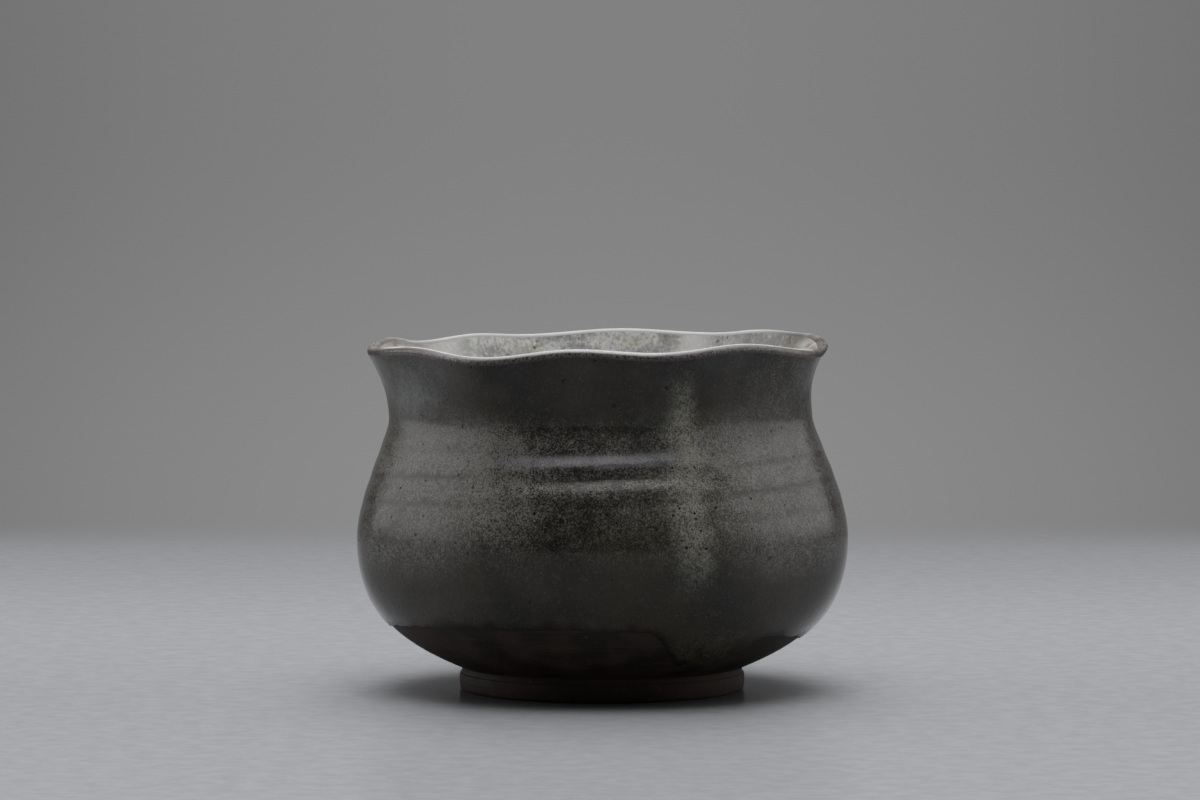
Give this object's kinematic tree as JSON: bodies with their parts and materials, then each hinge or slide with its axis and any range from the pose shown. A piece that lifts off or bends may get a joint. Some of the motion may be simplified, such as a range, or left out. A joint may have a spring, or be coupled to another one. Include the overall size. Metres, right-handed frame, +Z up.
{
  "type": "side dish bowl",
  "caption": "Small deep stoneware side dish bowl with a rounded belly, soft pressed panels, a wavy flared lip, a turned foot ring and an ash glaze.",
  "frame": {"origin": "centre of the foot ring on the surface it stands on", "axes": "+Z up, -Y towards the front shown in the picture, +X to the viewer's right"},
  "size_m": [0.1089, 0.1071, 0.0788],
  "materials": {
    "stoneware": "bare fired iron-bearing clay, matt, reddish brown",
    "ash_glaze": "speckled grey-green ash glaze, satin",
    "thin_glaze": "thin glaze over the lip, greyish with brown breaks",
    "pale_glaze": "pale grey glaze with brown specks, satin"
  },
  "bodies": {
    "root": {"bowl_wall": "stoneware", "foot_ring": "stoneware", "outer_glaze": "ash_glaze", "lip_glaze": "thin_glaze", "inner_glaze": "pale_glaze"}
  },
  "joints": []
}
